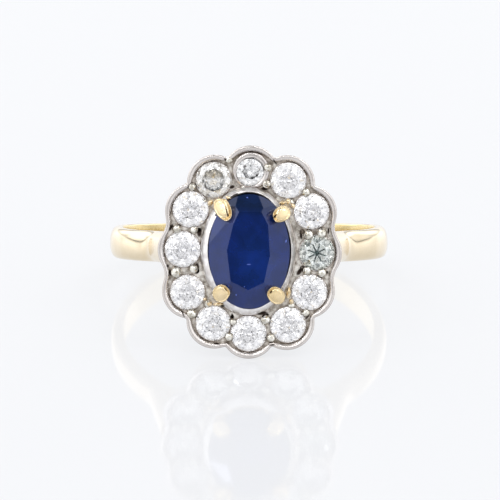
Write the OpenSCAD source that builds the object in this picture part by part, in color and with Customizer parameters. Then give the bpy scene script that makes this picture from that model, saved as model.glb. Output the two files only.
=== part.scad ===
// A cluster ring. An oval blue stone stands in four claws, ringed by twelve round
// stones in a scalloped white-metal head, on a plain yellow-metal shank.
//
// Each piece is drawn in the ring's own frame: the finger goes through along Z, and the
// head faces -Y. at_rest() then lays the ring down as it lies by itself, on its lowest
// lobe and on the back of the shank, with the surface under it at Z = 0.

/* [Finger hole and band] */
// Inside diameter of the band
finger_d = 17.5; // [16:0.25:20]
// Thickness of the band at the middle of its width
band_t = 0.9; // [0.8:0.05:1.1]
// Width of the band at the sides and the shoulders
band_w = 2.1; // [2:0.1:2.6]
// Width of the band at the back of the finger
band_w_back = 1.85; // [1.6:0.05:2]
// Radius of the gentle dome across the band's outside
band_dome_r = 4.8; // [3:0.1:10]
// Where the taper towards the back begins, behind the hole's centre
taper_y = 2; // [-6:0.5:5]

/* [Shoulders] */
// Distance from the middle of the ring to the outside of a shoulder, under the head
shoulder_x = 6; // [5.7:0.05:6.2]
// Lean of a shoulder's outer line, in degrees
shoulder_lean = 13; // [9:1:15]
// Thickness of a shoulder
shoulder_t = 1.15; // [0.9:0.05:1.3]
// Radius of the sweep from the band into a shoulder
shoulder_sweep_r = 3; // [2:0.25:4]

/* [Head] */
// Distance from the hole's centre to the front of the scalloped rim
rim_y = 12.6; // [12.4:0.05:13.2]
// Thickness of the head, from the rim to its flat back
head_t = 1.7; // [1.5:0.05:1.8]
// Radius of a lobe at the rim
lobe_r = 1.92; // [1.88:0.01:2]
// Radius of a lobe at the flat back
lobe_back_r = 1.3; // [1.2:0.02:1.36]
// How far a lobe's centre lies inside its stone's centre
lobe_inset = 0.2; // [0.15:0.01:0.25]
// Radius of the rim's inner wall
rim_inner_r = 1.56; // [1.5:0.01:1.6]
// Depth of the field between the stones, under the rim
field_depth = 0.35; // [0.3:0.01:0.4]
// Radius of a grain
grain_r = 0.25; // [0.2:0.01:0.28]
// Distance of a grain from the midpoint of its two stones
grain_reach = 0.55; // [0.5:0.01:0.65]
// Height of the oval wall in front of the rim
wall_h = 0.5; // [0.3:0.05:0.6]
// Thickness of the oval wall and of the collar behind it
wall_t = 0.4; // [0.36:0.01:0.44]
// Distance from the finger hole to the flat end of the collar
collar_lift = 0.25; // [0.2:0.05:0.4]

/* [Round stones] */
// Height of a round stone's girdle behind the rim
girdle_depth = 0.28; // [0.24:0.01:0.32]
// Radius of the hole behind each stone
azure_r = 0.62; // [0.5:0.01:0.7]
// Radius of the hole's flare at the flat back
azure_flare_r = 0.95; // [0.8:0.01:1]
// Width of a round stone's table, as a share of its diameter
round_table = 0.56; // [0.52:0.01:0.62]
// Height of a round stone's crown, as a share of its diameter
round_crown = 0.15; // [0.12:0.01:0.16]
// Depth of a round stone's pavilion, as a share of its diameter
round_pavilion = 0.43; // [0.41:0.01:0.44]
// Thickness of a round stone's girdle, as a share of its diameter
round_girdle = 0.03; // [0.02:0.01:0.04]

/* [Oval stone and claws] */
// Width of the oval stone
oval_w = 5.46; // [5.3:0.02:5.5]
// Height of the oval stone
oval_h = 7.7; // [7.6:0.02:7.74]
// Size of the oval stone's table, as a share of the one drawn below
oval_table = 1; // [0.94:0.01:1.03]
// Height of the oval stone's crown
oval_crown = 0.95; // [0.85:0.05:1.05]
// Depth of the oval stone's pavilion
oval_pavilion = 2.3; // [2.1:0.05:2.4]
// Thickness of the oval stone's girdle
oval_girdle = 0.12; // [0.1:0.01:0.14]
// Height of the oval stone's girdle in front of the rim
oval_girdle_z = 1.05; // [0.9:0.05:1.2]
// Radius of a claw's wire
claw_wire_r = 0.4; // [0.35:0.01:0.42]
// Radius of a claw's rounded head
claw_head_r = 0.57; // [0.5:0.01:0.58]
// Height of a claw head's centre in front of the rim
claw_head_z = 1.47; // [1.4:0.01:1.6]
// Thickness of the wire under the claws
base_wire_t = 0.6; // [0.5:0.05:0.65]

/* [Fits] */
// Gap between two pieces that are seated together
seat_gap = 0.04; // [0.03:0.01:0.08]
// Gap round a round stone in its seat
stone_gap = 0.05; // [0.04:0.01:0.08]
// Gap between the oval stone and a claw
claw_gap = 0.025; // [0.02:0.005:0.04]
// Gap between the oval stone's edge and the wall round it
wall_gap = 0.12; // [0.1:0.01:0.15]

/* [Hidden] */
$fa = 6;
$fs = 0.1;

YELLOW = [0.93, 0.78, 0.48];
WHITE = [0.80, 0.78, 0.76];
BLUE = [0.10, 0.15, 0.45];
CLEAR = [0.92, 0.94, 0.97];

// The round stones, clockwise from 12 o'clock as seen from the front. Each was set by
// eye, so no two are quite alike. x and y are across and up the face of the head.
X = 0;
Y = 1;
STONE_D = 2;
STONE_TURN = 3;
STONES = [
    [0.15, 5.36, 2.16, 8],
    [2.67, 4.68, 2.42, 31],
    [4.22, 2.60, 2.42, 17],
    [4.59, -0.20, 2.42, 0],
    [4.08, -2.86, 2.42, 40],
    [2.64, -5.05, 2.42, 12],
    [-0.02, -5.65, 2.42, 27],
    [-2.41, -4.95, 2.36, 5],
    [-4.13, -2.86, 2.36, 36],
    [-4.46, 0.04, 2.44, 21],
    [-3.92, 2.73, 2.44, 10],
    [-2.37, 4.72, 2.42, 43],
];

// This one has a broader table than the others, by so large a share of its diameter.
BROAD_TABLED = 12;
BROADER = 0.08;

// The claws' heads, as seen from the front. reach is how far the head runs on over the
// oval stone towards its middle.
CLAW_REACH = 2;
CLAWS = [
    [-1.92, 2.92, 0.55],
    [2.22, 2.56, 0.1],
    [1.82, -2.94, 0.1],
    [-1.86, -2.81, 0.1],
];

// The oval stone's wall lies a touch left of the cluster's middle and below it. The stone
// itself was set a little askew in it.
OVAL_AT = [-0.05, -0.08];
SAPPHIRE_AT = [0.02, -0.05];

// The corners of the oval stone's table, anticlockwise from the right, as shares of its
// half width and half height. Its top edge is straight and its foot is pointed.
TABLE = [
    [0.51, -0.06],
    [0.465, 0.47],
    [0.3, 0.7],
    [-0.245, 0.7],
    [-0.38, 0.5],
    [-0.545, 0.03],
    [-0.455, -0.51],
    [-0.02, -0.665],
    [0.365, -0.53],
];

// The facets that take off the corners along the girdle: the way that each faces, its
// slope, and how far inside the edge it begins.
FACET_WAY = 0;
FACET_SLOPE = 1;
FACET_INSET = 2;
GIRDLE_FACETS = [
    [60, 51, 0.02],
    [124, 50, 0],
    [163, 38.7, 0.06],
    [212, 49, 0],
    [268, 44, 0],
    [322, 49, 0],
    [15, 41, 0.02],
];

finger_r = finger_d / 2;
band_r = finger_r + band_t;
head_back_y = rim_y - head_t;

// Radius of the band's outside at a distance z from the middle of its width.
function band_edge_r(z) = band_r - band_dome_r + sqrt(band_dome_r * band_dome_r - z * z);

// The middle of a stone's lobe: the stone's own middle, moved in towards the head's.
function lobe_at(stone) =
    let (p = [stone[X], stone[Y]])
    p - lobe_inset * p / norm(p);

// How the ring lies: the drop of its lowest lobe and of the band's back edge below the
// finger's axis set the tilt and the height.
lobe_drop = max([for (s = STONES) lobe_r - lobe_at(s)[Y]]);
back_drop = band_w_back / 2;
back_edge_r = band_edge_r(back_drop);
rest_tilt = atan((lobe_drop - back_drop) / (rim_y + back_edge_r));
rest_z = lobe_drop * cos(rest_tilt) - rim_y * sin(rest_tilt);
low_claw = max([for (c = CLAWS) -c[Y]]);
reach_front = (rim_y + claw_head_z) * cos(rest_tilt) + low_claw * sin(rest_tilt) + claw_head_r;
reach_back = back_edge_r * cos(rest_tilt) + back_drop * sin(rest_tilt);
rest_y = (reach_front - reach_back) / 2;

// The oval of the big stone, of the wall round it and of the collar is made of four
// arcs: two small ones at its ends and two large ones along its sides.
oval_end_r = 2.1;
wall_a = oval_w / 2 + wall_gap;
wall_b = oval_h / 2 + wall_gap;

// The big stone's own edge is a fuller oval of the same kind. Its point is blunt by a
// small share of its depth.
stone_end_r = 2.35;
oval_point_share = 0.03;

// The oval wire that joins the claws has these half axes inside. It stands on the band,
// which it straddles by a little.
base_a = 1.62;
base_b = 2.2;
base_z = band_r - rim_y;
base_straddle = 0.15;

// How far a cut runs past the face that it opens.
past = 0.5;

module at_rest() {
    translate([0, rest_y, rest_z]) rotate([-rest_tilt, 0, 0]) children();
}

// Takes shapes drawn face up, with the rim at Z = 0, to the front of the ring.
module on_head() {
    translate([0, -rim_y, 0]) rotate([90, 0, 0]) children();
}

// The radius of an oval's side arcs, from its half axes and the radius of its ends.
function side_arc_r(a, b, end_r) =
    (a * a + pow(b - end_r, 2) - end_r * end_r) / (2 * (a - end_r));

// How far the big stone's edge reaches in a direction across it.
function stone_reach(way) =
    let (
        a = oval_w / 2,
        end_y = oval_h / 2 - stone_end_r,
        side_r = side_arc_r(a, oval_h / 2, stone_end_r),
        x = abs(cos(way)),
        y = abs(sin(way))
    )
    y * (side_r - a) < x * end_y ? side_r - (side_r - a) * x : end_y * y + stone_end_r;

// An oval of arcs with half axes a and b.
module arc_oval(a, b, end_r) {
    end_y = b - end_r;
    side_r = side_arc_r(a, b, end_r);
    side_x = side_r - a;
    // where the side arc meets the end arc
    join = [0, end_y] + end_r * [side_x, end_y] / norm([side_x, end_y]);
    intersection() {
        translate([-side_x, 0]) circle(side_r);
        translate([side_x, 0]) circle(side_r);
        square([2 * a + past, 2 * join[Y]], center = true);
    }
    for (side = [-1, 1]) translate([0, side * end_y]) circle(end_r);
}

// An oval of arcs with half axes a and b, parallel to the oval of the wall.
module oval(a, b) {
    arc_oval(a, b, oval_end_r + a - wall_a);
}

module oval_tube(a, b, thickness, height) {
    linear_extrude(height) difference() {
        oval(a + thickness, b + thickness);
        oval(a, b);
    }
}

// A round rod from point p to point q.
module rod(p, q, r) {
    d = q - p;
    translate(p)
        rotate([0, acos(d[2] / norm(d)), atan2(d[1], d[0])])
            cylinder(r = r, h = norm(d));
}

// A round brilliant with its girdle at Z = 0. table is the table's share of its diameter.
// Eight main facets run from the table to the girdle and eight from there to the point.
module round_brilliant(d, table) {
    mains = 8;
    step = 360 / mains;
    r = d / 2;
    crown = round_crown * d;
    pavilion = round_pavilion * d;
    girdle_z = round_girdle * d / 2;
    point_z = -girdle_z - pavilion;
    // how far out two main facets meet, above and below the girdle
    star = (1 + table) / 2;
    low = 0.24;
    // the heights where two main facets meet, so that each one is flat
    star_z = girdle_z + crown * (1 - star * cos(step / 2)) / (1 - table);
    low_z = point_z + pavilion * low * cos(step / 2);
    function ring(n, turn, share, z) =
        [for (i = [0:n - 1]) let (a = turn + i * 360 / n) [r * share * cos(a), r * share * sin(a), z]];
    points = concat(
        ring(mains, 0, table, girdle_z + crown),
        ring(mains, step / 2, star, star_z),
        ring(2 * mains, 0, 1, girdle_z),
        ring(2 * mains, 0, 1, -girdle_z),
        ring(mains, step / 2, low, low_z),
        [[0, 0, point_z]]
    );
    first_star = mains;
    first_upper = 2 * mains;
    first_lower = 4 * mains;
    first_low = 6 * mains;
    point = 7 * mains;
    faces = concat(
        [[for (i = [mains - 1:-1:0]) i]],
        [for (i = [0:mains - 1])
            let (
                next = (i + 1) % mains,
                last = (i + mains - 1) % mains,
                m = 2 * i,
                m_next = (m + 1) % (2 * mains),
                m_after = (m + 2) % (2 * mains)
            )
            each [
                [i, next, first_star + i],
                [i, first_star + i, first_upper + m],
                [i, first_upper + m, first_star + last],
                [first_star + i, first_upper + m_next, first_upper + m],
                [first_star + i, first_upper + m_after, first_upper + m_next],
                for (k = [m, m_next]) [
                    first_upper + k, first_upper + (k + 1) % (2 * mains),
                    first_lower + (k + 1) % (2 * mains), first_lower + k,
                ],
                [first_low + i, first_lower + m, first_lower + m_next],
                [first_low + i, first_lower + m_next, first_lower + m_after],
                [point, first_lower + m, first_low + i],
                [point, first_low + last, first_lower + m],
            ]
        ]
    );
    polyhedron(points, faces);
}

// What is ground away in front of a flat facet. The facet faces a way across the stone
// and leans back by its slope. It passes at z, so far out from the stone's middle.
module ground_off(way, out, z, slope, spread) {
    size = 2 * oval_h;
    rotate([0, 0, way]) translate([out, 0, z]) rotate([0, slope, 0])
        translate([-size, -size, spread]) cube([2 * size, 2 * size, size]);
}

// The oval brilliant with its girdle at Z = 0, grown all round by spread. Its facets are
// ground one after the other. Each runs from the table, or from the point, to the oval's
// edge where the facet faces.
module oval_brilliant(spread = 0) {
    front = oval_girdle / 2;
    table_z = front + oval_crown;
    depth = oval_pavilion * (1 - oval_point_share);
    corners = [for (c = TABLE) oval_table * [c[X] * oval_w / 2, c[Y] * oval_h / 2]];
    count = len(corners);
    facets_behind = 8;
    step = 360 / facets_behind;
    difference() {
        translate([0, 0, -front - depth - spread])
            linear_extrude(front + depth + table_z + 2 * spread)
                arc_oval(oval_w / 2 + spread, oval_h / 2 + spread, stone_end_r + spread);
        for (i = [0:count - 1]) {
            p = corners[i];
            q = corners[(i + 1) % count];
            way = atan2(p[X] - q[X], q[Y] - p[Y]);
            out = p[X] * cos(way) + p[Y] * sin(way);
            ground_off(way, out, table_z, atan(oval_crown / (stone_reach(way) - out)), spread);
        }
        for (f = GIRDLE_FACETS) {
            out = stone_reach(f[FACET_WAY]) - f[FACET_INSET];
            ground_off(f[FACET_WAY], out, front, f[FACET_SLOPE], spread);
        }
        for (way = [step / 2:step:360]) {
            out = stone_reach(way);
            ground_off(way, out, -front, 180 - atan(oval_pavilion / out), spread);
        }
    }
}

// The band, with its taper and dome, before the finger hole is cut.
module band() {
    intersection() {
        rotate_extrude() intersection() {
            translate([finger_r / 2, -band_w / 2]) square([band_r, band_w]);
            translate([band_r - band_dome_r, 0]) circle(band_dome_r);
        }
        rotate([90, 0, 90]) linear_extrude(3 * band_r, center = true) polygon([
            [-band_r - past, -band_w / 2],
            [taper_y, -band_w / 2],
            [band_r, -back_drop],
            [band_r + past, -back_drop],
            [band_r + past, back_drop],
            [band_r, back_drop],
            [taper_y, band_w / 2],
            [-band_r - past, band_w / 2],
        ]);
    }
}

// The right shoulder. Its outer line leans in towards the head, and a concave arc
// takes it into the band.
module shoulder() {
    along = [sin(shoulder_lean), cos(shoulder_lean)];
    outward = [cos(shoulder_lean), -sin(shoulder_lean)];
    end_y = -(head_back_y - seat_gap);
    end = [shoulder_x, end_y];
    edge_r = band_edge_r(band_w / 4);
    line_d = end * outward + shoulder_sweep_r;
    sweep_r = edge_r + shoulder_sweep_r;
    sweep_at = line_d * outward - sqrt(sweep_r * sweep_r - line_d * line_d) * along;
    leaves_line = sweep_at - shoulder_sweep_r * outward;
    meets_band = sweep_at * edge_r / sweep_r;
    root = meets_band * finger_r / edge_r;
    inner = [shoulder_x - shoulder_t / cos(shoulder_lean), end_y];
    linear_extrude(band_w, center = true) difference() {
        polygon([
            end,
            leaves_line,
            meets_band,
            root,
            inner + along * (leaves_line[Y] - end_y),
            inner,
        ]);
        translate(sweep_at) circle(shoulder_sweep_r);
    }
}

module shank() {
    color(YELLOW) at_rest() difference() {
        union() {
            band();
            shoulder();
            mirror([1, 0, 0]) shoulder();
        }
        cylinder(r = finger_r, h = 2 * band_w, center = true);
    }
}

// What a round stone takes out of the head: its seat, and the hole behind it.
module stone_seat(stone) {
    r = stone[STONE_D] / 2 + stone_gap;
    seat_z = -girdle_depth - stone_gap;
    throat_z = -1.05;
    flare_h = 0.35;
    translate([stone[X], stone[Y], 0]) {
        translate([0, 0, seat_z]) cylinder(r = r, h = past - seat_z);
        translate([0, 0, throat_z]) cylinder(r1 = azure_r, r2 = r, h = seat_z - throat_z);
        translate([0, 0, -head_t - past]) cylinder(r = azure_r, h = head_t + past + throat_z);
        translate([0, 0, -head_t]) cylinder(r1 = azure_flare_r, r2 = azure_r, h = flare_h);
    }
}

// Two grains between a stone and the next one round, one towards the rim and one
// towards the wall.
module grains(stone, next) {
    p = [stone[X], stone[Y]];
    q = [next[X], next[Y]];
    out = [p[Y] - q[Y], q[X] - p[X]] / norm(q - p);
    root_z = -field_depth - 0.1;
    dome_z = -0.1;
    for (side = [-1, 1]) {
        at = (p + q) / 2 + side * grain_reach * out;
        translate([at[X], at[Y], root_z]) cylinder(r = grain_r, h = dome_z - root_z);
        translate([at[X], at[Y], dome_z]) sphere(grain_r);
    }
}

module lobes() {
    for (s = STONES)
        translate([lobe_at(s)[X], lobe_at(s)[Y], -head_t])
            cylinder(r1 = lobe_back_r, r2 = lobe_r, h = head_t);
    translate([0, 0, -head_t]) linear_extrude(head_t) polygon([for (s = STONES) lobe_at(s)]);
}

module field() {
    translate([0, 0, -field_depth]) {
        for (s = STONES)
            translate([lobe_at(s)[X], lobe_at(s)[Y], 0]) cylinder(r = rim_inner_r, h = past);
        linear_extrude(past) polygon([for (s = STONES) lobe_at(s)]);
    }
}

// The room that the band needs where the collar and the base wire stand on it.
module band_room() {
    translate([0, 0, -rim_y]) rotate([90, 0, 0])
        cylinder(r = band_r + seat_gap, h = band_w + 2 * seat_gap, center = true);
}

// The oval wall and the collar behind it are one tube, notched where the claws pass.
module wall_and_collar() {
    collar_end = rim_y - finger_r - collar_lift;
    difference() {
        translate([OVAL_AT[X], OVAL_AT[Y], -collar_end])
            oval_tube(wall_a, wall_b, wall_t, collar_end + wall_h);
        for (c = CLAWS) claw_wire(c, claw_wire_r + seat_gap);
        band_room();
    }
}

module cluster_mount() {
    count = len(STONES);
    mid_t = wall_t / 2;
    color(WHITE) at_rest() on_head() difference() {
        union() {
            difference() {
                lobes();
                field();
                // this opening ends inside the wall's thickness
                translate([OVAL_AT[X], OVAL_AT[Y], -head_t - past])
                    linear_extrude(head_t + 2 * past) oval(wall_a + mid_t, wall_b + mid_t);
            }
            for (i = [0:count - 1]) grains(STONES[i], STONES[(i + 1) % count]);
            wall_and_collar();
        }
        for (s = STONES) stone_seat(s);
    }
}

// A claw's wire leans outward from the base wire to the edge of the oval stone.
module claw_wire(claw, r) {
    way = [claw[X], claw[Y]] / norm([claw[X], claw[Y]]);
    foot_a = 2.05;
    foot_b = 2.35;
    knee_out = 0.12;
    foot = [way[X] * foot_a, way[Y] * foot_b, base_z + base_wire_t / 2];
    knee = [claw[X] + way[X] * knee_out, claw[Y] + way[Y] * knee_out, claw_head_z - knee_out];
    rod(foot, knee, r);
}

// Its rounded head lies over the stone's edge and runs on towards the middle.
module claw_head(claw, r) {
    way = [claw[X], claw[Y]] / norm([claw[X], claw[Y]]);
    nose_less = 0.08;
    middle = [claw[X], claw[Y], claw_head_z];
    nose = middle + [-way[X] * claw[CLAW_REACH], -way[Y] * claw[CLAW_REACH], nose_less];
    translate(middle) sphere(r);
    translate(nose) sphere(r - nose_less);
    rod(middle, nose, r - nose_less);
}

module claw_setting() {
    color(YELLOW) at_rest() on_head() difference() {
        union() {
            for (c = CLAWS) {
                claw_wire(c, claw_wire_r);
                claw_head(c, claw_head_r);
            }
            translate([OVAL_AT[X], OVAL_AT[Y], base_z - base_straddle])
                oval_tube(base_a, base_b, base_wire_t, base_wire_t);
        }
        translate([SAPPHIRE_AT[X], SAPPHIRE_AT[Y], oval_girdle_z]) oval_brilliant(claw_gap);
        band_room();
    }
}

module sapphire() {
    color(BLUE) at_rest() on_head()
        translate([SAPPHIRE_AT[X], SAPPHIRE_AT[Y], oval_girdle_z]) oval_brilliant();
}

module diamond(number) {
    stone = STONES[number - 1];
    broader = number == BROAD_TABLED ? BROADER : 0;
    color(CLEAR) at_rest() on_head()
        translate([stone[X], stone[Y], -girdle_depth])
            rotate([0, 0, stone[STONE_TURN]])
                round_brilliant(stone[STONE_D], round_table + broader);
}

shank();
cluster_mount();
claw_setting();
sapphire();
diamond(1);  // diamond_01
diamond(2);  // diamond_02
diamond(3);  // diamond_03
diamond(4);  // diamond_04
diamond(5);  // diamond_05
diamond(6);  // diamond_06
diamond(7);  // diamond_07
diamond(8);  // diamond_08
diamond(9);  // diamond_09
diamond(10);  // diamond_10
diamond(11);  // diamond_11
diamond(12);  // diamond_12
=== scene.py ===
"""The looks of a sapphire and diamond cluster ring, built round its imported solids.

Shapes are drawn in millimetres. The head's own frame has x across and y up its face, and
z towards the viewer, from 0 at the rim. The ring's own frame has the finger along z and
the head towards -y. LIE and HEAD take them to metres in the frame of the solids.
"""

import math

import bmesh
import bpy
from mathutils import Matrix, Vector


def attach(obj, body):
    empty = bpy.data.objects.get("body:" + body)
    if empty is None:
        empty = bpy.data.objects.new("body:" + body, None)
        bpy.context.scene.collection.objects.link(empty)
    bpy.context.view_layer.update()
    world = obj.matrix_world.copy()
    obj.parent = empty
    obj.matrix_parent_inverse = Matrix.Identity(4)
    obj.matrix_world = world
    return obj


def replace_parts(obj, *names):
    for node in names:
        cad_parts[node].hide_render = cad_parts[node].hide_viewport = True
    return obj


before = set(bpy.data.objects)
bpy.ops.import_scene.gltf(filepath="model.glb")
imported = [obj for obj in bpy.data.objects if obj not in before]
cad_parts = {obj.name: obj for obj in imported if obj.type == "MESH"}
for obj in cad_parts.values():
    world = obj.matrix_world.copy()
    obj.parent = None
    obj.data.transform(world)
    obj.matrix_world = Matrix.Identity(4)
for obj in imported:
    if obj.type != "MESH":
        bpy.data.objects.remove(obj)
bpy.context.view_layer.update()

# The sizes down to BASE_Z are those of the solids. The band: the radius of its outside, its
# width at the sides and at the back, where it begins to narrow, and its thickness.
BAND_R = 9.65
BAND_W = 2.1
BAND_W_BACK = 1.85
TAPER_Y = 2.0
BAND_T = 0.9
# The shoulders: their thickness, where their outside ends at the head, how they lean, and
# the sweep in which they run out to the band.
SHOULDER_T = 1.15
SHOULDER_END = Vector((6.0, -10.95, 0))
SHOULDER_LEAN = math.radians(13)
SHOULDER_SWEEP_R = 3.0
# The head: how far its rim is from the finger's middle, its thickness, the radius of its
# lobes, how far they are drawn in from their stones, and the field between the stones.
RIM_Y = 12.6
HEAD_T = 1.7
LOBE_R = 1.92
LOBE_INSET = 0.2
FIELD_Z = -0.35
# The open back of a round stone's seat: its radius, its flare at the back of the head, how
# thick the flare is, and where the seat has narrowed to the opening.
AZURE_R = 0.62
AZURE_FLARE_R = 0.95
AZURE_FLARE_T = 0.35
THROAT_Z = -1.05
# The oval wall's inside: half its width and its height, the radius of its ends, its middle.
WALL_A = 2.85
WALL_B = 3.97
OVAL_END_R = 2.1
OVAL_AT = Vector((-0.05, -0.08, 0))
# The claws: the height of their heads, the radius of their wires, and the foot of the wires.
CLAW_HEAD_Z = 1.47
CLAW_WIRE_R = 0.4
BASE_Z = BAND_R - RIM_Y

# The round stones, clockwise from 12 o'clock: x, y and diameter.
STONES = [
    (0.15, 5.36, 2.16),
    (2.67, 4.68, 2.42),
    (4.22, 2.60, 2.42),
    (4.59, -0.20, 2.42),
    (4.08, -2.86, 2.42),
    (2.64, -5.05, 2.42),
    (-0.02, -5.65, 2.42),
    (-2.41, -4.95, 2.36),
    (-4.13, -2.86, 2.36),
    (-4.46, 0.04, 2.44),
    (-3.92, 2.73, 2.44),
    (-2.37, 4.72, 2.42),
]

# The corner after each lobe, clockwise, is this round. The ones at the sides of the head
# are softer.
CORNER_R = 0.12
SOFT_CORNERS = {3: 1.4, 4: 1.4, 9: 1.4, 10: 1.4}

# Where the claws come through.
CLAWS = [(-1.92, 2.92), (2.22, 2.56), (1.82, -2.94), (-1.86, -2.81)]

# The claws' heads as they were filed over the stone: the outline of each, clockwise, with
# the way that its burr faces in degrees and how deep the burr is.
CLAW_HEADS = [
    (
        [(-1.50, 2.02), (-1.80, 2.16), (-2.07, 2.41), (-2.27, 2.72), (-2.35, 3.08), (-2.28, 3.39),
         (-1.93, 3.50), (-1.51, 3.45), (-1.35, 3.18), (-1.21, 2.88), (-1.13, 2.51), (-1.24, 2.19)],
        -25, 0.26,
    ),
    (
        [(1.62, 2.45), (1.69, 2.65), (1.84, 2.83), (2.09, 3.00), (2.39, 3.04), (2.67, 2.87),
         (2.80, 2.58), (2.72, 2.29), (2.49, 2.09), (2.16, 1.97), (1.84, 1.95), (1.68, 2.17)],
        195, 0.16,
    ),
    (
        [(1.22, -2.90), (1.31, -2.66), (1.50, -2.45), (1.72, -2.37), (2.02, -2.47), (2.28, -2.70),
         (2.41, -2.97), (2.38, -3.30), (2.16, -3.53), (1.82, -3.55), (1.53, -3.41), (1.33, -3.17)],
        135, 0.12,
    ),
    (
        [(-1.80, -2.23), (-1.51, -2.36), (-1.30, -2.63), (-1.25, -2.84), (-1.41, -3.12),
         (-1.62, -3.37), (-1.93, -3.45), (-2.23, -3.29), (-2.41, -2.98), (-2.39, -2.65),
         (-2.23, -2.43), (-2.01, -2.29)],
        45, 0.12,
    ),
]

# The small grains that hold the round stones: x, y and radius.
GRAINS = [
    (1.29, 5.56, 0.27), (1.19, 4.44, 0.24), (3.85, 3.87, 0.24), (2.84, 3.2, 0.2),
    (4.02, 1.01, 0.27), (4.93, 1.14, 0.27), (3.92, -1.41, 0.24), (4.93, -1.55, 0.24),
    (3.85, -4.24, 0.21), (2.88, -3.70, 0.2), (1.12, -4.71, 0.27), (1.49, -5.93, 0.24),
    (-1.33, -5.86, 0.24), (-1.06, -4.85, 0.2), (-3.86, -4.31, 0.27), (-2.75, -3.64, 0.2),
    (-4.90, -1.52, 0.3), (-3.72, -1.28, 0.24), (-4.84, 1.41, 0.24), (-3.69, 1.35, 0.22),
    (-3.82, 4.24, 0.21), (-2.95, 3.30, 0.18), (-1.33, 6.06, 0.2), (-0.39, 4.17, 0.14),
]

# Pits left by the graver between the stones: x, y and radius.
PITS = [
    (-3.40, 1.33, 0.17), (-3.53, -1.42, 0.2), (3.60, 1.24, 0.17), (3.62, -1.24, 0.18),
    (1.13, 4.16, 0.14), (1.22, -4.42, 0.15), (-1.12, -4.52, 0.13), (-4.23, 4.38, 0.1),
]

# Dark marks of painted shade in the metal's deep pits, wedges and cuts: x, y, half length, half
# width and turn in degrees.
PIT_SHADES = [
    (-3.93, 4.36, 0.34, 0.13, 45), (-5.24, 1.51, 0.32, 0.09, 60), (-5.47, -1.08, 0.13, 0.10, 90),
    (-5.31, -1.55, 0.28, 0.06, 95), (5.37, 1.28, 0.27, 0.08, 90), (5.27, -1.52, 0.12, 0.10, 90),
    (3.97, -4.51, 0.28, 0.08, 52), (1.56, -6.40, 0.26, 0.07, 5), (-2.17, -6.32, 0.28, 0.07, -5),
    (-4.43, -4.31, 0.32, 0.06, 112), (-1.54, 6.06, 0.20, 0.10, -45), (1.76, 5.93, 0.26, 0.07, -55),
    (-1.13, 4.24, 0.24, 0.15, 20), (-3.32, 1.18, 0.40, 0.20, 80), (-3.49, -1.21, 0.44, 0.19, 90),
    (3.52, 1.01, 0.38, 0.12, 95), (3.41, -1.48, 0.36, 0.18, 55), (0.89, -4.28, 0.44, 0.14, 10),
    (-1.10, -4.51, 0.28, 0.12, 100), (1.09, 4.14, 0.36, 0.13, 5), (-1.80, -3.74, 0.20, 0.13, -20),
]

# Painted shade in the grooves by the claws' burrs, in the same terms.
CLAW_GROOVE_SHADES = [
    (-1.48, 2.69, 0.46, 0.06, 105), (-1.40, 2.42, 0.14, 0.09, 105), (1.77, 2.36, 0.24, 0.07, 50),
    (-1.55, -2.56, 0.22, 0.05, -49), (1.49, -2.73, 0.17, 0.08, 56),
]

# Dark flecks in the round stones 12 and 1, in the same terms.
FLECKS = [
    (-2.66, 4.16, 0.13, 0.09, 20), (-2.44, 4.08, 0.12, 0.10, 80), (-2.08, 4.10, 0.14, 0.09, -30),
    (-1.86, 4.24, 0.12, 0.08, 40), (-3.08, 4.60, 0.14, 0.07, 85), (-0.62, 5.44, 0.14, 0.10, 10),
    (-0.52, 5.78, 0.14, 0.08, 50), (0.78, 5.56, 0.15, 0.08, 80), (0.86, 5.34, 0.12, 0.09, 0),
    (0.12, 5.70, 0.12, 0.08, 80), (-0.26, 5.46, 0.10, 0.08, 0), (0.17, 4.86, 0.16, 0.09, 0),
]

# Small painted highlights, glints in the oval stone's colour, in the same terms.
PAINTED_GLINTS = [
    (0.0, -0.88, 0.18, 0.05, 0), (-0.85, -2.95, 0.06, 0.06, 0), (-0.10, 3.58, 0.07, 0.05, 0),
    (2.50, 0.65, 0.06, 0.14, -15), (-0.30, -2.38, 0.05, 0.05, 0),
]

# How the ring lies on the floor: the lean of the band, and where its middle is.
LIE_LEAN = math.radians(-16.2165)
LIE_AT = (0, 2.73163, 3.558)
LIE = Matrix.Scale(0.001, 4) @ Matrix.Translation(LIE_AT) @ Matrix.Rotation(LIE_LEAN, 4, "X")
HEAD = LIE @ Matrix.Translation((0, -RIM_Y, 0)) @ Matrix.Rotation(math.radians(90), 4, "X")


# Mesh helpers

def draw_loop(bm, points):
    """A closed loop of edges through the points."""
    verts = [bm.verts.new(p) for p in points]
    for a, b in zip(verts, verts[1:] + verts[:1]):
        bm.edges.new((a, b))
    return verts


def loop_edges(bm, verts):
    """The edges of a closed loop of vertices."""
    return [bm.edges.get(pair) for pair in zip(verts, verts[1:] + verts[:1])]


def extrude_loop(bm, verts, points):
    """Extrudes a closed loop and sets the new one at the points."""
    grown = bmesh.ops.extrude_edge_only(bm, edges=loop_edges(bm, verts))["geom"]
    new = {g for g in grown if isinstance(g, bmesh.types.BMVert)}
    moved = []
    for vert, point in zip(verts, points):
        twin = next(e.other_vert(vert) for e in vert.link_edges if e.other_vert(vert) in new)
        twin.co = point
        moved.append(twin)
    return moved


def loft(bm, rings, closed=False):
    """A skin through rings of points. A closed one meets itself, an open one is capped."""
    verts = draw_loop(bm, rings[0])
    first = verts
    for ring in rings[1:]:
        verts = extrude_loop(bm, verts, ring)
    if closed:
        last = extrude_loop(bm, verts, rings[0])
        bmesh.ops.remove_doubles(bm, verts=first + last, dist=1e-6)
    else:
        bm.faces.new(first)
        bm.faces.new(verts)


def unit_at(angle):
    """The direction at an angle from x towards y."""
    return Vector((math.cos(angle), math.sin(angle), 0))


def circle_points(x, y, radius, z, count=40):
    """Points round a level circle."""
    return [
        Vector((x + radius * math.cos(a), y + radius * math.sin(a), z))
        for a in (2 * math.pi * i / count for i in range(count))
    ]


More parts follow.
